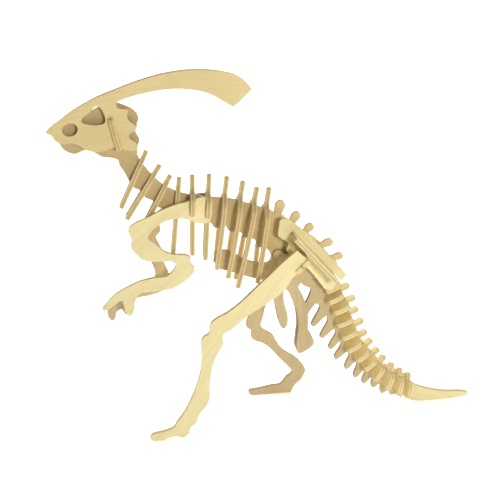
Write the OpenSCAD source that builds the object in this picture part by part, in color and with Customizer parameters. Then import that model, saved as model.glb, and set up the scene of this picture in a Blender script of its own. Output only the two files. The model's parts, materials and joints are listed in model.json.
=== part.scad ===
// Plywood skeleton puzzle of a crested, duck-billed dinosaur.
// Every piece is a flat plate that slots into its neighbours with half-lap joints.
// The head points along -X, the tail along +X, and the feet and tail stand on Z = 0.
// The backbone lies in the plane Y = 0, halfway between the snout and the tail tip in X.

/* [Plywood] */
// Thickness of the plywood sheet
ply = 3; // [2.8:0.1:3.1]
// Width that every slot has beyond the sheet's thickness
slot_play = 0.2; // [0.15:0.05:0.3]
// Number of straight pieces along each stretch of a curved edge
curve_steps = 4; // [2:1:6]

/* [Side plates] */
// Distance of each skull side's middle from the backbone's plane
skull_y = 5; // [4.9:0.1:5.5]
// Distance of each arm's middle from the backbone's plane
arm_y = 8; // [7.9:0.1:8.1]
// Distance of each ilium's middle from the backbone's plane
ilium_y = 10; // [9.5:0.5:11]
// Distance of each leg's middle from the backbone's plane
leg_y = 24; // [23:0.5:25]

/* [Cross plates] */
// Half width of the hip shelf and of the hip bar
hip_half = 27; // [26.8:0.1:28]
// Half width of the cheek bar
cheek_half = 8.7; // [8.5:0.1:9.5]
// Depth of the notch that each rib drops into
rib_lap = 5; // [4:0.5:6]
// Depth of the notch that each tail vertebra drops into
vertebra_lap = 5; // [4:0.5:5.5]

/* [Hidden] */
rib_names = [for (i = [1:10]) str("rib_", i < 10 ? "0" : "", i)];
vertebra_names = [for (i = [1:12]) str("vertebra_", i < 10 ? "0" : "", i)];

slot_w = ply + slot_play;
play = slot_play / 2;
// The ischium plates lie against the faces of the backbone
ischium_y = ply + play;

// Rib rows: X and Z where it crosses the backbone's upper edge, tilt, rise above it, drop below it, half width
ribs = [
    [-91, 187.5, 26.5, 8.2, 31, 6],
    [-84.3, 178.7, 33.5, 8.6, 31.5, 6],
    [-77.2, 172.2, 29, 8, 29, 6],
    [-68.8, 168.4, 6.6, 9.3, 43, 6],
    [-59.8, 166, 1.8, 13, 40, 6],
    [-49.8, 164.3, 4, 14.8, 42, 6],
    [-39.4, 163.2, 7.5, 14.2, 47, 11],
    [-29.5, 161, 9.8, 13.3, 51.4, 12],
    [-20.5, 158, 11.6, 11.8, 56, 12],
    [-12.2, 155, 7.5, 14.3, 49.5, 13]];
// The ribs that carry the arms, counted from 0
hook_ribs = [4, 5];
// Depth below the backbone's upper edge at which a hook rib rests on the arm
hook_seat = [5.9, 5];
hook_drop = 11.5;

// Vertebra rows: X and Z of its lower end, tilt from the horizontal, wing length, half width, spine
vertebrae = [
    [29, 96.2, 26, 11, 8.2, 0.8],
    [30.2, 90.2, 26, 11.2, 12.6, 7],
    [34.2, 81.8, 22, 12, 12, 6.4],
    [37.2, 72.2, 24, 11.4, 12.8, 7],
    [41.2, 62.2, 26, 11.6, 12.8, 7.4],
    [45.4, 52, 31, 11.4, 12.6, 7.2],
    [52.6, 43.3, 40, 11, 12.4, 6.2],
    [58.6, 35.8, 41, 11, 12.2, 5.6],
    [66.4, 26.2, 55, 11, 11.8, 6.2],
    [76.8, 17.9, 69, 10.8, 11.2, 6],
    [86, 13, 78, 10.6, 10.6, 5.6],
    [94, 7.6, 83, 12, 9.8, 4.8]];
// Fins under the tail plate, from the hip: X and Z of the gap before it, then X and Z of its tip
fins = [
    [25.2, 85.3, 21.5, 68.1], [32.1, 74.8, 28, 58.5], [38.3, 64.2, 34.6, 49.3], [43.2, 54.3, 39.1, 40.8],
    [48.9, 45.4, 47.4, 31.9], [55.3, 37.1, 54.6, 24.2], [61.5, 29.2, 61.4, 18.6], [67.6, 23.2, 68.9, 14.6],
    [74.1, 17.2, 76.6, 8.8], [80.7, 11.1, 83.4, 6.9], [88.1, 6.6, 91.4, 4.5]];

// The hip shelf slopes down to the rear from its front corner, on its lower face
shelf_x = 1.7;
shelf_z = 141;
shelf_slope = 47.7;
shelf_l = 42.5;
// The hip bar crosses below it: middle, slope, and reach down and up its slope
bar_x = 8;
bar_z = 123.2;
bar_slope = 45;
bar_down = 5.6;
bar_up = 5.4;
bar_lap = -0.6;
// The cheek bar: its upper end, lean and length
cheek_x = -107;
cheek_z = 216;
cheek_lean = 12;
cheek_l = 19.5;
cheek_lap = 9.5;
// The dovetail key between the backbone and the tail plate: middle of its mouth, half widths, height
key_at = [25, 103.9];
key_mouth = 1.8;
key_top = 2.8;
key_h = 5;

// ---- curves ----
// Points are [x, z], or [x, z, 1] at a sharp corner.
function flat(p) = [p[0], p[1]];
function sharp(p) = len(p) > 2;
function unit(v) = v / max(norm(v), 0.001);
function hermite(a, b, ta, tb, t) =
    a * (2 * t ^ 3 - 3 * t ^ 2 + 1) + b * (3 * t ^ 2 - 2 * t ^ 3)
    + ta * (t ^ 3 - 2 * t ^ 2 + t) + tb * (t ^ 3 - t ^ 2);
function heading(p, i) = unit(flat(p[(i + 1) % len(p)]) - flat(p[(i + len(p) - 1) % len(p)]));
function stretch(p, i) =
    let (j = (i + 1) % len(p), a = flat(p[i]), b = flat(p[j]), d = norm(b - a))
    let (ta = sharp(p[i]) ? b - a : heading(p, i) * d, tb = sharp(p[j]) ? b - a : heading(p, j) * d)
    let (n = sharp(p[i]) && sharp(p[j]) ? 1 : curve_steps)
    [for (k = [0:n - 1]) hermite(a, b, ta, tb, k / n)];
function closed_curve(p) = [for (i = [0:len(p) - 1]) each stretch(p, i)];
function ring(c, rx, ry, n = 16) =
    [for (k = [0:n - 1]) c + [rx * cos(k * 360 / n), ry * sin(k * 360 / n)]];
// A round-ended knob for an outline that runs from the head to the tail along an upper edge
function knob(root, tip, w) =
    let (d = unit(tip - root), n = [-d[1], d[0]] * w / 2, waist = 0.84)
    [root + n * waist, tip - d * w * 0.45 + n, tip, tip - d * w * 0.45 - n, root - n * waist];
// A fin for an outline that runs from the tail to the hip along a lower edge
function fin(gap, tip, root) =
    let (d = unit(tip - root), n = [-d[1], d[0]] * 1.6)
    [tip + n - d * 1.5, tip, tip - n - d * 1.5, gap];
function mirrored(half) = concat(half, [
    for (i = [len(half) - 1:-1:0]) concat([-half[i][0], half[i][1]], sharp(half[i]) ? [1] : [])]);

// ---- plates ----
// A plate that stands in a plane of constant Y, its middle at y
module side_plate(y) {
    translate([0, y + ply / 2, 0]) rotate([90, 0, 0]) linear_extrude(ply) children();
}
module outline(points) {
    polygon(closed_curve(points));
}
// A bar from a to b in the XZ plane, for slots
module stroke(a, b, w) {
    d = b - a;
    translate(a) rotate(atan2(d[1], d[0])) translate([0, -w / 2]) square([norm(d), w]);
}

// ---- shared directions ----
function rib_up(i) = [sin(ribs[i][2]), cos(ribs[i][2])];
function rib_at(i, v) = [ribs[i][0], ribs[i][1]] + rib_up(i) * v;
function vertebra_dir(i) = [cos(vertebrae[i][2]), sin(vertebrae[i][2])];
function vertebra_at(i, s) = [vertebrae[i][0], vertebrae[i][1]] + vertebra_dir(i) * s;
shelf_dir = [cos(shelf_slope), -sin(shelf_slope)];
shelf_up = [sin(shelf_slope), cos(shelf_slope)];
function shelf_at(s, n) = [shelf_x, shelf_z] + shelf_dir * s + shelf_up * n;
bar_dir = [cos(bar_slope), sin(bar_slope)];
function bar_at(s) = [bar_x, bar_z] + bar_dir * s;
cheek_dir = [sin(cheek_lean), -cos(cheek_lean)];
function cheek_at(s) = [cheek_x, cheek_z] + cheek_dir * s;

module shelf_slot() {
    stroke(shelf_at(shelf_l / 2, ply / 2), shelf_at(shelf_l + 12, ply / 2), slot_w);
}
module bar_window() {
    stroke(bar_at(-bar_down - play), bar_at(bar_up + play), slot_w);
}

// ---- spine ----
module backbone() {
    color("tan") side_plate(0) difference() {
        outline(concat([
            [-140, 205.6], [-134.6, 211.2], [-129, 214.6], [-124, 216.8], [-117, 220.8], [-110, 223.8],
            [-104, 224.4], [-98, 222.5], [-93, 219.5], [-90.8, 215], [-92.5, 210.5], [-93, 206.5],
            [-91, 202.5], [-92.4, 197], [-92.6, 192], [-89.6, 186.6], [-85, 180.3], [-78.6, 173.8],
            [-70, 168.8], [-60, 166], [-47, 164.2], [-35, 162.6], [-23, 158.8], [-12, 155], [-7.4, 153]],
            knob([-4.4, 151.4], [-1.8, 160.6], 6.2),
            [[2.6, 146.4]],
            knob([5.4, 145.4], [9.4, 152.4], 5.6),
            [[11.4, 140.2]],
            knob([14.6, 138.2], [19.2, 143.6], 5.2),
            [[22.4, 131]],
            knob([24.6, 127.4], [33.4, 131.4], 5),
            [[30.4, 121.6]],
            knob([32.6, 118], [41, 120.8], 4.6),
            [[37.6, 112], [41, 108.4], [41.4, 105.5, 1], [32, 103.6, 1], [13, 105, 1], [6, 104], [-3, 104],
            [-12, 105], [-20, 107.1], [-27, 109.4], [-34, 112], [-40, 114], [-44.4, 115.4], [-46.4, 119],
            [-45.4, 124.6], [-41, 127.6], [-35, 126.4], [-29, 121.8], [-22, 118.8], [-14, 117],
            [-9.6, 118.4], [-8.6, 122.6], [-11.5, 127.6], [-17.5, 129.8], [-19.8, 134.6], [-26, 136.4],
            [-29.5, 140.2], [-36.5, 141.2], [-39.5, 145.2], [-45.5, 143.6], [-49.5, 148.4],
            [-60, 152.6], [-68, 156], [-76, 158], [-82.3, 159.2], [-84.4, 163], [-89.8, 166],
            [-92, 170], [-96.8, 172.8], [-99.3, 177.6], [-101.4, 182.2], [-104, 186.6], [-104.8, 190],
            [-109, 191.4], [-114.5, 192.3], [-118, 194.6], [-124, 196.4], [-130, 194.3], [-135.4, 196.2],
            [-138.4, 200]]));
        for (i = [0:len(ribs) - 1]) stroke(rib_at(i, -rib_lap), rib_at(i, 6), slot_w);
        shelf_slot();
        bar_window();
        stroke(cheek_at(-12), cheek_at(cheek_l - cheek_lap), slot_w);
        key(play);
    }
}

// The key, grown by extra on every side
module key(extra) {
    polygon([
        key_at + [-key_mouth - extra, -1], key_at + [-key_top - extra, key_h + extra],
        key_at + [key_top + extra, key_h + extra], key_at + [key_mouth + extra, -1]]);
}

module tail_plate() {
    last = len(vertebrae) - 1;
    tops = [for (i = [0:last]) vertebra_at(i, vertebrae[i][3])];
    gaps = concat([for (f = fins) [f[0], f[1]]], [[94.4, 4]]);
    fringe = [for (i = [len(fins) - 1:-1:0])
        each fin(gaps[i], [fins[i][2], fins[i][3]], (gaps[i] + gaps[i + 1]) / 2)];
    key_edge = [
        concat(key_at - [key_mouth, 0], [1]), concat(key_at + [-key_top, key_h], [1]),
        concat(key_at + [key_top, key_h], [1]), concat(key_at + [key_mouth, -0.3], [1])];
    color("tan") side_plate(0) difference() {
        outline(concat(
            [[13, 104.6, 1]], key_edge, [[33, 103.2, 1], [37, 102.2]], tops,
            [[103, 13.8], [114, 9.6], [127, 6.7], [137, 6], [143, 4.9], [145, 3.2], [141, 1.6],
            [131, 0.5], [120, 0, 1], [106, 0, 1], [99.4, 1.6]],
            fringe,
            [[15.6, 75.6], [12.8, 78], [16.2, 86.5], [19.2, 94], [19, 97.4], [15, 99.4], [12.6, 101.8]]));
        for (i = [0:last])
            stroke(vertebra_at(i, vertebrae[i][3] - vertebra_lap), vertebra_at(i, vertebrae[i][3] + 6),
                slot_w);
    }
}

// ---- head ----
module skull(side) {
    color("wheat") side_plate(side * skull_y) difference() {
        outline([
            [-145, 208.8], [-139.4, 213.4], [-132.4, 218.4], [-124.3, 223.2], [-114, 228.2], [-104, 232],
            [-95, 235.3], [-86, 238.2], [-73, 241.4], [-56, 243.2], [-41, 242.2], [-30.6, 239.6],
            [-26, 236.4], [-22, 231.8, 1], [-28.2, 226], [-33.4, 221.4, 1], [-38, 223.9], [-46, 228.5],
            [-54, 231.2], [-66, 232.5], [-78, 231.7], [-90, 229.4], [-99, 226.8], [-103, 224.6],
            [-102, 221.8], [-96, 221, 1], [-97, 215.6], [-92, 209.6], [-97, 205.4], [-92, 199.6],
            [-93.4, 196.6], [-99, 196.6], [-105, 198.8],
            [-111, 197], [-117, 196], [-123, 197.6], [-127, 200.2], [-131, 201.6], [-136, 201.2],
            [-140, 203.2], [-142, 206.4]]);
        translate([-131, 209.6]) rotate(20) polygon(ring([0, 0], 4.7, 3.8));
        outline([
            [-124, 214.6], [-119, 219.4], [-114.6, 223], [-111.6, 221], [-110, 214.6], [-112, 212.6],
            [-119, 212.4]]);
        stroke(cheek_at(cheek_l - cheek_lap), cheek_at(cheek_l + 8), slot_w);
    }
}

module cheek_bar() {
    half = cheek_half;
    color("burlywood") translate([cheek_x, 0, cheek_z]) rotate([0, -cheek_lean, 0]) rotate([90, 0, 90])
        translate([0, 0, -ply / 2]) linear_extrude(ply) difference() {
            outline([[-half, -1.5], [-half + 1.4, 0], [half - 1.4, 0], [half, -1.5], [half, -cheek_l + 1.5],
                [half - 1.5, -cheek_l], [-half + 1.5, -cheek_l], [-half, -cheek_l + 1.5]]);
            for (y = [-skull_y, skull_y])
                translate([y - slot_w / 2, -cheek_l + cheek_lap]) square([slot_w, cheek_l]);
            translate([-slot_w / 2, -cheek_l - 1]) square([slot_w, cheek_lap + 1]);
        }
}

// ---- arms ----
// The two arms hang from the hook ribs by the same shoulder and are bent differently below it
module arm(side, points) {
    front = rib_at(hook_ribs[0], -hook_seat[0] - play);
    rear = rib_at(hook_ribs[1], -hook_seat[1] - play);
    lean = rib_up(hook_ribs[0]) + rib_up(hook_ribs[1]);
    color("wheat") side_plate(side * arm_y) difference() {
        outline(points);
        stroke(front, front + lean * 8, slot_w + play);
        stroke(rear, rear + lean * 8, slot_w + play);
    }
}
module arm_left() {
    arm(-1, [
        [-50, 150.6], [-48.2, 155], [-47.9, 160], [-48, 164.4], [-50.6, 166.2], [-55, 166.4],
        [-62, 164.2], [-70, 162.6], [-80, 159], [-89, 154.4], [-97, 151], [-101, 147], [-99.4, 140.6],
        [-99.9, 135.4], [-96.2, 129.8], [-92.2, 126.2], [-82.6, 124.9], [-75.2, 124.8], [-72.4, 122.2],
        [-74.6, 117.4], [-79, 114.2], [-86, 113.8], [-96, 111.6], [-104, 108], [-113, 102.6],
        [-119, 96], [-120.8, 92.8], [-116.4, 93.6], [-111, 97.6], [-108, 99], [-107, 95.6],
        [-106.2, 90.6], [-103.4, 87.8], [-100.9, 91], [-99.4, 98.4], [-96.2, 103.2], [-87.6, 104.2],
        [-76.4, 105.4], [-67.2, 110.2], [-61.2, 115.6], [-60.2, 119], [-62.6, 123], [-62.8, 127],
        [-66.6, 128.8], [-74, 129.4], [-80, 132.4], [-84.6, 137.2], [-88.6, 140.6], [-88.2, 143.2],
        [-85.2, 146.8], [-80, 150.6], [-74, 152.8], [-66, 153], [-59, 150.6], [-54, 149.4]]);
}
module arm_right() {
    arm(1, [
        [-50, 150.6], [-48.2, 155], [-48, 160], [-48.6, 163.2], [-51.6, 164.8], [-56, 164.6],
        [-62, 163], [-70, 161], [-78, 157], [-84, 152], [-89.6, 147.2], [-93.6, 143], [-94.4, 138.4],
        [-93, 131], [-89.8, 122], [-86.6, 114], [-87, 107.4], [-95, 103.8], [-104, 101], [-111, 96.8],
        [-117.4, 91], [-119.6, 85], [-118.6, 78.8], [-115.4, 78], [-113.6, 83.6], [-110, 85.6],
        [-107.6, 81.6], [-105, 82.4], [-103.6, 88], [-100, 93], [-90, 95], [-82, 97.6], [-77.4, 101.4],
        [-76.4, 107], [-78.4, 113.4], [-80.6, 120], [-81.4, 128], [-84.4, 136.4],
        [-81.4, 140.4], [-81.4, 146], [-77, 150.4], [-69, 152.6], [-61, 151], [-54, 149.6]]);
}

// ---- hips ----
// The far ilium has a lower crown than the near one
ilium_crowns = [
    [[-5.9, 140.4], [-5.2, 146], [-4.2, 150.6], [1.4, 150.4], [7.4, 145.6], [14.4, 139.8]],
    [[-5.9, 139], [-5, 142.6], [-1.6, 144.6], [4, 143.4], [9, 140], [14.4, 135.6]]];
module ilium(side) {
    color("wheat") side_plate(side * ilium_y) difference() {
        outline(concat(ilium_crowns[side < 0 ? 0 : 1], [
            [22, 131.6], [27, 127], [30.6, 122], [33.8, 118], [39.6, 112.6], [40.2, 109.4], [36.8, 106],
            [33.6, 102.4], [30.8, 100.4], [27, 100.6], [24.2, 104], [19, 111], [13, 117.6], [6.6, 123.2],
            [3, 126], [0, 129.6], [1.2, 133.6], [0.4, 135.6], [-3, 137.4]]));
        shelf_slot();
        bar_window();
    }
}

module ischium(side) {
    color("burlywood") side_plate(side * ischium_y) difference() {
        outline([
            [-7.6, 124.6], [-5.8, 127.2], [-2.6, 127], [1.6, 124.4], [4.4, 128], [8.6, 131.2], [12, 128.4],
            [15.6, 124], [18.4, 118.6], [20.8, 112.4], [22.4, 108.6], [19, 105.6], [13.6, 104.8],
            [10, 100], [13.6, 92.6], [16.8, 83], [17.6, 72], [18, 65.6], [22, 59], [21.4, 55], [16.6, 51],
            [11.8, 49.2], [10, 52], [10.2, 60], [10.9, 70], [9.5, 81], [6.4, 90], [3, 97.4],
            [0.4, 99], [0.2, 90], [2.6, 81], [3, 73.6], [0.6, 69.4], [-2.2, 72], [-3.8, 79], [-5.2, 86],
            [-7, 93], [-8, 101], [-6.4, 109], [-5, 114.6], [-6.4, 119.6]]);
        bar_window();
    }
}

// The hip bar carries both legs in notches cut from its lower edge
module hip_bar() {
    l = bar_down + bar_up;
    color("burlywood") translate([bar_x, 0, bar_z]) rotate([0, -bar_slope, 0])
        translate([0, 0, -ply / 2]) linear_extrude(ply) difference() {
            translate([-bar_down, -hip_half]) square([l, 2 * hip_half]);
            for (side = [-1, 1]) {
                translate([-bar_down - 1, side * leg_y - slot_w / 2])
                    square([bar_down + 1 + bar_lap, slot_w]);
            }
        }
}

// The hip shelf slides onto the backbone and both ilia from behind
module hip_shelf() {
    color("wheat") translate([shelf_x, 0, shelf_z]) rotate([0, shelf_slope, 0])
        linear_extrude(ply) difference() {
            translate([0, -hip_half]) square([shelf_l, 2 * hip_half]);
            for (y = [-ilium_y, 0, ilium_y])
                translate([-1, y - slot_w / 2]) square([shelf_l / 2 + 1 + play, slot_w]);
        }
}

// ---- legs ----
// The upper end of each leg is stepped to fit the hip bar
leg_seat = [
    concat(bar_at(bar_lap) + [1, -1] * ply / 2 * 0.707, [1]),
    concat(bar_at(bar_lap) + [-1, 1] * (ply + slot_play) / 2 * 0.707, [1]),
    concat(bar_at(bar_up) + [-1, 1] * (ply + slot_play) / 2 * 0.707, [1])];
module leg_left() {
    color("wheat") side_plate(-leg_y) outline(concat(leg_seat, [
        [4, 134.2, 1], [-5, 126.4], [-14, 117.6], [-24, 108], [-32, 100.2], [-40, 94], [-48.6, 89.2],
        [-51.4, 86], [-52.8, 79.2], [-56, 77.4], [-57.8, 73.6], [-58, 66], [-58.2, 57], [-60, 47],
        [-63, 38], [-68, 26], [-71.6, 19.4], [-76, 13.4], [-78, 9.6], [-85, 6.8], [-92.6, 5.2],
        [-94.4, 2.6],
        [-92, 0, 1], [-86, 0, 1], [-78, 2.6], [-72, 1.4], [-68.4, 3.8], [-66.6, 9], [-62.8, 12.2],
        [-60.8, 18.4], [-55.6, 25], [-53.2, 32], [-53, 41], [-51.2, 54], [-47.6, 64], [-43.6, 71.4],
        [-43.6, 78], [-37.6, 81.8], [-26.6, 91.2], [-19, 96], [-11, 101.4], [-5.4, 105.6],
        [-1.4, 110.6], [2, 116]]));
}
module leg_right() {
    color("wheat") side_plate(leg_y) outline(concat(leg_seat, [
        [4, 134.2, 1], [-3, 126.6], [-5, 119], [-4.4, 111], [-5.4, 103], [-8, 96], [-12, 90.4],
        [-17, 84.4], [-20.2, 76.6], [-20.4, 68.4], [-22.6, 60.4], [-21.6, 57.6], [-18.8, 55.6],
        [-18.6, 49.4], [-15, 46.4], [-10, 44.4], [-4, 39], [4, 29.4], [10, 22.6], [12.6, 17.4],
        [8.6, 13.8], [4, 7.8], [-3, 6.8], [-9, 5.6],
        [-15, 4.5], [-19.8, 3.9], [-20.6, 1.8], [-18, 0, 1], [12, 0, 1], [15, 6.4], [19.4, 10.4],
        [21.4, 14.4],
        [23, 18.6], [21, 23], [15, 30], [5, 37.4], [0, 45], [-3, 50.6], [-8.6, 54.4], [-11.8, 58.6],
        [-10, 66.6], [-8.6, 74], [-5.4, 82], [0.6, 90], [4.6, 98], [6.4, 106], [7.2, 113]]));
}

// ---- ribs ----
// Half of a plain rib's outline: spine, shoulder, outer edge, tip, inner edge, slot
function plain_rib(up, drop, w) = [
    [0.9, up], [1.9, up - 3.5], [2.3, 3.5], [w * 0.55 + 0.8, 0.6], [w - 0.4, -4],
    [w + 0.3, -drop * 0.34], [w, -drop * 0.56], [w * 0.84 + 0.3, -drop * 0.8], [w * 0.6 + 1.5, -drop + 1],
    [w * 0.6 + 0.2, -drop], [w * 0.6 - 0.9, -drop + 1.6], [w * 0.74 - 1.8, -drop * 0.8],
    [w - 3.3, -drop * 0.56], [w - 3.2, -drop * 0.34], [w * 0.5 - 0.6, -10.4], [slot_w / 2 + 0.3, -9.6, 1],
    [slot_w / 2, -rib_lap + play, 1]];
// A hook rib reaches over the arms and holds each of them in a slot that opens downwards
function hook_rib(up, drop, w, seat) =
    let (inside = arm_y - slot_w / 2, outside = arm_y + slot_w / 2)
    [[0.9, up], [1.9, up - 3.5], [2.3, 4], [7, 1.6], [outside + 2.2, 0.4], [outside + 3.6, -3],
    [outside + 2.8, -hook_drop + 3], [outside + 1, -hook_drop], [outside, -hook_drop + 2, 1],
    [outside, -seat, 1], [inside, -seat, 1], [inside, -hook_drop, 1], [w - 0.2, -drop * 0.56],
    [w * 0.84, -drop * 0.8], [w * 0.6 + 1.3, -drop + 1], [w * 0.6, -drop], [w * 0.6 - 1, -drop + 1.6],
    [w * 0.74 - 1.8, -drop * 0.8], [w - 3.3, -drop * 0.56], [w - 3.2, -drop * 0.34],
    [w * 0.5 - 0.6, -10.4], [slot_w / 2 + 0.3, -9.6, 1], [slot_w / 2, -rib_lap + play, 1]];
module rib(i) {
    r = ribs[i];
    hooks = [for (k = [0:1]) if (hook_ribs[k] == i) hook_seat[k]];
    half = len(hooks) > 0 ? hook_rib(r[3], r[4], r[5], hooks[0]) : plain_rib(r[3], r[4], r[5]);
    color("wheat") translate([r[0], 0, r[1]]) rotate([0, r[2], 0]) rotate([90, 0, 90])
        translate([0, 0, -ply / 2]) linear_extrude(ply) outline(mirrored(half));
}

// ---- tail vertebrae ----
// Half of a vertebra seen square on, with its length upwards: slot, wing, and the spine on top
function vertebra_half(l, w, spine) = [
    [slot_w / 2, 0.3, 1], [w - 1.6, 0], [w, 1.8], [w, l - 2], [w - 1.6, l], [3.6, l + 0.2],
    [2.5, l + spine * 0.3], [2.7, l + spine * 0.7], [0.8, l + spine]];
module vertebra(i) {
    v = vertebrae[i];
    half = vertebra_half(v[3], v[4], v[5]);
    lap = v[3] - vertebra_lap + play;
    slot_top = [[slot_w / 2, lap, 1]];
    color("wheat") translate([v[0], 0, v[1]]) rotate([0, 90 - v[2], 0]) rotate([90, 0, 90])
        translate([0, 0, -ply / 2]) linear_extrude(ply) outline(mirrored(concat(slot_top, half)));
}

backbone();
tail_plate();
skull(-1);  // skull_left
skull(1);  // skull_right
cheek_bar();
arm_left();
arm_right();
leg_left();
leg_right();
ilium(-1);  // ilium_left
ilium(1);  // ilium_right
ischium(-1);  // ischium_left
ischium(1);  // ischium_right
hip_bar();
hip_shelf();
for (i = [0:len(ribs) - 1]) rib(i);
for (i = [0:len(vertebrae) - 1]) vertebra(i);
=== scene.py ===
"""Looks for the slotted plywood dinosaur skeleton: bevelled plates, plywood materials, soft light."""
import json
import math

import bpy
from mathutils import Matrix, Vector

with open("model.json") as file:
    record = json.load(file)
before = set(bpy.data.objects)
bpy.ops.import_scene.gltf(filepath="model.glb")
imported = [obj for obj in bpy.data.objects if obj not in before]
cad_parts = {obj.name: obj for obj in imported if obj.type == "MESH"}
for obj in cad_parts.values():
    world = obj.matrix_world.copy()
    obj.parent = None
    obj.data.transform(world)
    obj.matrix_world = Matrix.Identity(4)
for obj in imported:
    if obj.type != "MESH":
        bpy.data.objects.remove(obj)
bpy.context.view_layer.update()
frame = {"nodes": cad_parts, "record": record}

MM = 0.001
PLY = 3 * MM
EDGE_ROUND = 0.28 * MM
RIB_ROUND = 0.48 * MM
# Edges that turn by more than this are rounded off
BEVEL_ANGLE = math.radians(50)
# Edges that turn by less than this are shaded as one smooth curve
SOFT_ANGLE = math.radians(32)
# Loaded points closer than this are one point
WELD_GAP = 0.002 * MM
# How far from the sheet's centre plane the glue line lies
GLUE_DEPTH = 0.56 * MM
# Step between the noise of one plate and the next, so that no two have the same figure
FIGURE_STEP = 3.7
# Shares of a face's fibres and broad bands in its figure
FIBRE_SHARE = 0.55
BAND_SHARE = 0.45
# Least and most of the grain tone in the figure, most of it in patches, and the darkness of the pores
GRAIN_LEAST = 0.05
GRAIN_MOST = 0.48
PATCH_MOST = 0.30
PORE_SHARE = 0.22
# On the cut edge: how dark the middle ply, the glue line and the browner side are
CORE_SHARE = 0.60
GLUE_SHARE = 0.40
BROWNING = 0.22
# How far the lines between plies wander, and the depth of the surface's relief
WANDER = 0.35 * MM
RELIEF = 0.12 * MM

# Linear colours of each kind of sheet: pale face wood, its darker grain, the cut edge and the glue line
SHEETS = {
    "pale_ply": dict(light=(0.84, 0.735, 0.40), grain=(0.71, 0.585, 0.285), edge=(0.47, 0.34, 0.15)),
    "warm_ply": dict(light=(0.77, 0.625, 0.31), grain=(0.64, 0.485, 0.22), edge=(0.42, 0.28, 0.12)),
    # tan_ply is the pale sheet darkened all over: painted shade for the far limbs and the ischium
    "tan_ply": dict(light=(0.58, 0.46, 0.25), grain=(0.45, 0.325, 0.155), edge=(0.27, 0.17, 0.07)),
}
# The middle plates and the small tail plates get tones of their own, which hold painted shade and painted
# light
# Partly painted light: the vertebrae's golden wood is warmed as painted bounced light, and its light cut
# edges are a painted highlight on the strips
GOLDEN_PAINTED_LIGHT = dict(light=(0.93, 0.785, 0.42), grain=(0.74, 0.56, 0.25), edge=(0.60, 0.44, 0.18))
# Painted shade: the backbone's dark brown stands for the shade of the ribs on it
PAINTED_SHADE_BROWN = dict(light=(0.56, 0.425, 0.205), grain=(0.44, 0.31, 0.135), edge=(0.25, 0.15, 0.055))
# The tail plate takes the tan sheet as painted shade between the vertebrae
PAINTED_LIGHT_BOARDS = {"vertebra": GOLDEN_PAINTED_LIGHT, "backbone": PAINTED_SHADE_BROWN, "tail": SHEETS["tan_ply"]}
GLUE = (0.20, 0.11, 0.045)
# Painted shade that fades into a lighter tone between two places along X: the backbone out of the ribs'
# shade towards the hips, the tail plate out of the vertebrae's shade towards its tip
PAINTED_SHADE_FADES = {"backbone": ("warm_ply", -0.018, 0.004), "tail_plate": ("pale_ply", 0.07, 0.115)}


# ---- plates ----
def plate_axes(obj):
    """Unit normal of the plate, the place of its middle along that normal, and its long direction."""
    sums = {}
    for face in obj.data.polygons:
        key = tuple(round(abs(c), 2) for c in face.normal)
        area, normal = sums.get(key, (0.0, face.normal.copy()))
        sums[key] = (area + face.area, normal)
    normal = max(sums.values(), key=lambda item: item[0])[1].normalized()
    points = [v.co for v in obj.data.vertices]
    heights = [p.dot(normal) for p in points]
    middle = (min(heights) + max(heights)) / 2
    centre = sum(points, Vector()) / len(points)
    far = max(points, key=lambda p: (p - centre).length) - centre
    grain = (far - normal * far.dot(normal)).normalized()
    return normal, middle, grain


def node_group(name):
    """An empty group of geometry nodes, with the nodes that stand for its input and its output."""
    group = bpy.data.node_groups.new(name, "GeometryNodeTree")
    for way in ("INPUT", "OUTPUT"):
        group.interface.new_socket("Geometry", in_out=way, socket_type="NodeSocketGeometry")
    start = group.nodes.new("NodeGroupInput")
    end = group.nodes.new("NodeGroupOutput")
    return group, start, end


def shading_group():
    """Geometry nodes that smooth the curved edges and keep the sheet's corners sharp."""
    group, start, end = node_group("soft_curves")
    nodes, links = group.nodes, group.links
    smooth = nodes.new("GeometryNodeSetShadeSmooth")
    sharp = nodes.new("GeometryNodeSetShadeSmooth")
    sharp.domain = "EDGE"
    sharp.inputs["Shade Smooth"].default_value = False
    angle = nodes.new("GeometryNodeInputMeshEdgeAngle")
    steep = nodes.new("FunctionNodeCompare")
    steep.operation = "GREATER_THAN"
    steep.inputs[1].default_value = SOFT_ANGLE
    links.new(start.outputs[0], smooth.inputs["Geometry"])
    links.new(smooth.outputs[0], sharp.inputs["Geometry"])
    links.new(angle.outputs["Unsigned Angle"], steep.inputs[0])
    links.new(steep.outputs[0], sharp.inputs["Selection"])
    links.new(sharp.outputs[0], end.inputs[0])
    return group


def cleaning_group():
    """Geometry nodes that weld the loaded mesh and drop its stored normals."""
    group, start, end = node_group("welded")
    nodes, links = group.nodes, group.links
    drop = nodes.new("GeometryNodeRemoveAttribute")
    drop.inputs["Name"].default_value = "custom_normal"
    weld = nodes.new("GeometryNodeMergeByDistance")
    weld.inputs["Distance"].default_value = WELD_GAP
    links.new(start.outputs[0], drop.inputs["Geometry"])
    links.new(drop.outputs[0], weld.inputs["Geometry"])
    links.new(weld.outputs[0], end.inputs[0])
    return group


def finish_plate(obj, cleaning, shading, rounding):
    """Weld the plate, round its edges by the given width and smooth its curved stretches."""
    obj.modifiers.new("weld", "NODES").node_group = cleaning
    bevel = obj.modifiers.new("round_edges", "BEVEL")
    bevel.width = rounding
    bevel.segments = 2
    bevel.limit_method = "ANGLE"
    bevel.angle_limit = BEVEL_ANGLE
    obj.modifiers.new("smooth", "NODES").node_group = shading
    weights = obj.modifiers.new("flat_faces", "WEIGHTED_NORMAL")
    weights.keep_sharp = True


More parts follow.
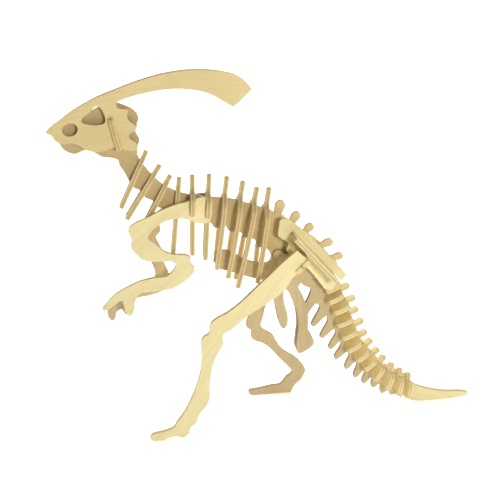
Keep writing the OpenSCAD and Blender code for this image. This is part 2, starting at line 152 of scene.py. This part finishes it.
# ---- material helpers ----
class Graph:
    """Short names for building one material's nodes."""

    def __init__(self, name):
        self.material = bpy.data.materials.new(name)
        self.material.use_nodes = True
        self.tree = self.material.node_tree
        self.shader = next(n for n in self.tree.nodes if n.type == "BSDF_PRINCIPLED")
        self.place = self.tree.nodes.new("ShaderNodeTexCoord").outputs["Object"]

    def put(self, socket, value):
        """Link the socket to another one, or give it a plain value."""
        if isinstance(value, bpy.types.NodeSocket):
            self.tree.links.new(value, socket)
        else:
            socket.default_value = value

    def math(self, operation, first, second=0.0, third=0.0):
        node = self.tree.nodes.new("ShaderNodeMath")
        node.operation = operation
        for socket, value in zip(node.inputs, (first, second, third)):
            self.put(socket, value)
        return node.outputs[0]

    def along(self, direction):
        """Distance from the origin along a direction."""
        node = self.tree.nodes.new("ShaderNodeVectorMath")
        node.operation = "DOT_PRODUCT"
        self.put(node.inputs[0], self.place)
        node.inputs[1].default_value = tuple(direction)
        return node.outputs["Value"]

    def noise(self, x, y, z, detail=3.0, rough=0.55):
        join = self.tree.nodes.new("ShaderNodeCombineXYZ")
        for socket, value in zip(join.inputs, (x, y, z)):
            self.put(socket, value)
        node = self.tree.nodes.new("ShaderNodeTexNoise")
        self.put(node.inputs["Vector"], join.outputs[0])
        node.inputs["Scale"].default_value = 1.0
        node.inputs["Detail"].default_value = detail
        node.inputs["Roughness"].default_value = rough
        return node.outputs["Fac"]

    def ramp(self, value, low, high, out_low=0.0, out_high=1.0):
        """Smooth step from one output to the other between two values."""
        node = self.tree.nodes.new("ShaderNodeMapRange")
        node.interpolation_type = "SMOOTHSTEP"
        for socket, number in zip(node.inputs, (value, low, high, out_low, out_high)):
            self.put(socket, number)
        return node.outputs[0]

    def mix(self, amount, first, second):
        node = self.tree.nodes.new("ShaderNodeMix")
        node.data_type = "RGBA"
        self.put(node.inputs["Factor"], amount)
        for key, value in (("A", first), ("B", second)):
            socket = next(s for s in node.inputs if s.name == key and s.type == "RGBA")
            if not isinstance(value, bpy.types.NodeSocket):
                value = (*value, 1.0)
            self.put(socket, value)
        return next(s for s in node.outputs if s.type == "RGBA")

    def bump(self, height, distance, strength):
        node = self.tree.nodes.new("ShaderNodeBump")
        node.inputs["Distance"].default_value = distance
        node.inputs["Strength"].default_value = strength
        self.put(node.inputs["Height"], height)
        return node.outputs["Normal"]


def plywood(name, sheet, axes, number):
    """Three-ply sheet: grained faces, and cut edges that show the plies and their glue lines."""
    normal, middle, grain = axes
    g = Graph("ply_" + name)
    # Painted shade fading into the lighter tone along X
    if name in PAINTED_SHADE_FADES:
        other, start, end = PAINTED_SHADE_FADES[name]
        out_of_painted_shade = g.ramp(g.along((1, 0, 0)), start, end)
        sheet = {tone: g.mix(out_of_painted_shade, sheet[tone], SHEETS[other][tone]) for tone in sheet}
    shift = number * FIGURE_STEP
    depth = g.math("SUBTRACT", g.along(normal), middle)
    run = g.along(grain)
    side = g.along(normal.cross(grain))

    def stretched(per_run, per_side, per_depth, detail=3.0):
        """Noise with so many waves a metre along the grain, across it and into the sheet."""
        return g.noise(
            g.math("MULTIPLY_ADD", run, per_run, shift),
            g.math("MULTIPLY_ADD", side, per_side, shift * 0.6),
            g.math("MULTIPLY_ADD", depth, per_depth, shift * 0.3), detail)

    fibres = stretched(28, 900, 300)
    bands = stretched(9, 130, 60, 2.0)
    patches = stretched(26, 34, 30, 2.0)
    pores = g.ramp(stretched(320, 2300, 600, 1.0), 0.66, 0.74)

    figure = g.math("ADD", g.math("MULTIPLY", fibres, FIBRE_SHARE), g.math("MULTIPLY", bands, BAND_SHARE))
    figured = g.ramp(figure, 0.40, 0.66, GRAIN_LEAST, GRAIN_MOST)
    face = g.mix(figured, sheet["light"], sheet["grain"])
    face = g.mix(g.ramp(patches, 0.45, 0.75, 0.0, PATCH_MOST), face, sheet["grain"])
    face = g.mix(g.math("MULTIPLY", pores, PORE_SHARE), face, sheet["edge"])

    # Cut edge: outer plies, a darker middle ply of end grain, and glue between them
    ragged = g.math("MULTIPLY", g.math("SUBTRACT", stretched(520, 520, 200, 2.0), 0.5), WANDER)
    level = g.math("ADD", g.math("ABSOLUTE", depth), ragged)
    core = g.ramp(level, 0.62 * MM, 0.50 * MM)
    glue = g.ramp(g.math("ABSOLUTE", g.math("SUBTRACT", level, GLUE_DEPTH)), 0.11 * MM, 0.03 * MM)
    strokes = stretched(1500, 1500, 110, 2.0)
    edge = g.mix(g.ramp(strokes, 0.35, 0.68, 0.0, 0.7), sheet["light"], sheet["grain"])
    edge = g.mix(g.math("MULTIPLY", core, CORE_SHARE), edge, sheet["edge"])
    edge = g.mix(g.math("MULTIPLY", glue, GLUE_SHARE), edge, GLUE)
    # The cut edge is a little browner towards one side of the sheet
    edge = g.mix(g.ramp(depth, -1.4 * MM, 1.5 * MM, 0.0, BROWNING), edge, sheet["edge"])

    on_face = g.ramp(g.math("ABSOLUTE", depth), PLY / 2 - 0.17 * MM, PLY / 2 - 0.03 * MM)
    colour = g.mix(on_face, edge, face)
    g.put(g.shader.inputs["Base Color"], colour)

    dull = g.ramp(fibres, 0.3, 0.7, 0.50, 0.66)
    g.put(g.shader.inputs["Roughness"], g.math("MULTIPLY_ADD", on_face, -0.16, g.math("ADD", dull, 0.16)))
    g.shader.inputs["Specular IOR Level"].default_value = 0.32
    face_relief = g.math("SUBTRACT", g.math("MULTIPLY", fibres, 0.6), g.math("MULTIPLY", pores, 0.5))
    relief = g.math("ADD", g.math("MULTIPLY", face_relief, on_face),
                    g.math("MULTIPLY", strokes, g.math("SUBTRACT", 1.0, on_face)))
    g.put(g.shader.inputs["Normal"], g.bump(relief, RELIEF, 0.45))
    return g.material


# ---- studio ----
# The camera stands to the animal's left, a little ahead of its middle, and looks down on it
CAMERA_PLACE = Vector((-0.0730, -0.3919, 0.2692))
CAMERA_TILT = 70.19
CAMERA_TURN = -7.32
CAMERA_LENS = 45.36
CAMERA_RANGE = (0.01, 20)
# Strength of the light that the floor gives off and of the light from all round
FLOOR_GLOW = 0.50
ROOM_GLOW = 0.13


def camera():
    """The camera that stands where the photographer stood."""
    data = bpy.data.cameras.new("camera")
    data.lens = CAMERA_LENS
    data.clip_start, data.clip_end = CAMERA_RANGE
    obj = bpy.data.objects.new("camera", data)
    obj.location = CAMERA_PLACE
    obj.rotation_euler = (math.radians(CAMERA_TILT), 0, math.radians(CAMERA_TURN))
    bpy.context.collection.objects.link(obj)
    bpy.context.scene.camera = obj


def area_light(name, place, aim, size, watts, colour):
    """A round lamp at one place that points at another."""
    data = bpy.data.lights.new(name, "AREA")
    data.shape = "DISK"
    data.size = size
    data.energy = watts
    data.color = colour
    obj = bpy.data.objects.new(name, data)
    obj.location = place
    obj.rotation_euler = (Vector(aim) - Vector(place)).to_track_quat("-Z", "Y").to_euler()
    bpy.context.collection.objects.link(obj)


def floor():
    """A pale sweep: flat under the model and curving up behind it."""
    reach, front, back = 4.0, 1.1, 1.4
    radius, steps, height = 0.9, 16, 3.5
    profile = [(-front, 0.0), (back, 0.0)]
    for k in range(1, steps + 1):
        turn = math.pi / 2 * k / steps
        profile.append((back + radius * math.sin(turn), radius * (1 - math.cos(turn))))
    profile.append((back + radius, height))
    vertices = [(x, y, z) for y, z in profile for x in (-reach, reach)]
    faces = [(2 * k, 2 * k + 1, 2 * k + 3, 2 * k + 2) for k in range(len(profile) - 1)]
    mesh = bpy.data.meshes.new("floor")
    mesh.from_pydata(vertices, [], faces)
    for face in mesh.polygons:
        face.use_smooth = True
    obj = bpy.data.objects.new("floor", mesh)
    bpy.context.collection.objects.link(obj)
    g = Graph("floor_paper")
    scaled = [g.math("MULTIPLY", g.along(axis), 3.0) for axis in ((1, 0, 0), (0, 1, 0), (0, 0, 1))]
    tone = g.noise(*scaled, 2.0)
    g.put(g.shader.inputs["Base Color"], g.mix(tone, (0.93, 0.93, 0.925), (0.90, 0.90, 0.895)))
    g.shader.inputs["Roughness"].default_value = 0.9
    g.shader.inputs["Emission Color"].default_value = (1.0, 1.0, 1.0, 1.0)
    g.shader.inputs["Emission Strength"].default_value = FLOOR_GLOW
    g.shader.inputs["Specular IOR Level"].default_value = 0.1
    mesh.materials.append(g.material)


def backdrop():
    """A dim surrounding light that the camera itself sees as plain white."""
    world = bpy.data.worlds.new("studio")
    world.use_nodes = True
    nodes, links = world.node_tree.nodes, world.node_tree.links
    dim = nodes["Background"]
    dim.inputs["Color"].default_value = (1.0, 0.985, 0.96, 1.0)
    dim.inputs["Strength"].default_value = ROOM_GLOW
    white = nodes.new("ShaderNodeBackground")
    white.inputs["Strength"].default_value = 1.0
    white.inputs["Color"].default_value = (1.0, 1.0, 1.0, 1.0)
    seen = nodes.new("ShaderNodeLightPath")
    choose = nodes.new("ShaderNodeMixShader")
    links.new(seen.outputs["Is Camera Ray"], choose.inputs[0])
    links.new(dim.outputs[0], choose.inputs[1])
    links.new(white.outputs[0], choose.inputs[2])
    links.new(choose.outputs[0], nodes["World Output"].inputs["Surface"])
    bpy.context.scene.world = world


def studio():
    """Camera, floor, surroundings and lamps."""
    camera()
    floor()
    backdrop()
    middle = (0.0, 0.0, 0.12)
    sweep_curve = (0.0, 2.2, 0.5)
    area_light("key", (0.09, -0.50, 0.27), aim=middle, size=0.09, watts=1.45, colour=(1.0, 0.985, 0.95))
    area_light("top", (0.10, -0.10, 0.95), aim=middle, size=0.50, watts=0.5, colour=(1.0, 0.99, 0.97))
    area_light("sweep", (0.0, 0.9, 1.6), aim=sweep_curve, size=1.6, watts=46.0, colour=(1.0, 1.0, 1.0))
    bpy.context.scene.view_settings.view_transform = "Standard"


# ---- the model ----
slots = {part["node"]: part["material_slot"] for part in frame["record"]["subparts"]}
cleaning, shading = cleaning_group(), shading_group()
for number, node in enumerate(sorted(frame["nodes"])):
    plate = frame["nodes"][node]
    # Backbone, tail plate and vertebrae take the boards with painted shade and painted light; the rest
    # take the sheet of their slot
    sheet = PAINTED_LIGHT_BOARDS.get(node.split("_")[0], SHEETS[slots[node]])
    material = plywood(node, sheet, plate_axes(plate), number)
    for slot in plate.material_slots:
        slot.material = material
    rounding = RIB_ROUND if node.startswith("rib_") else EDGE_ROUND
    finish_plate(plate, cleaning, shading, rounding)

studio()
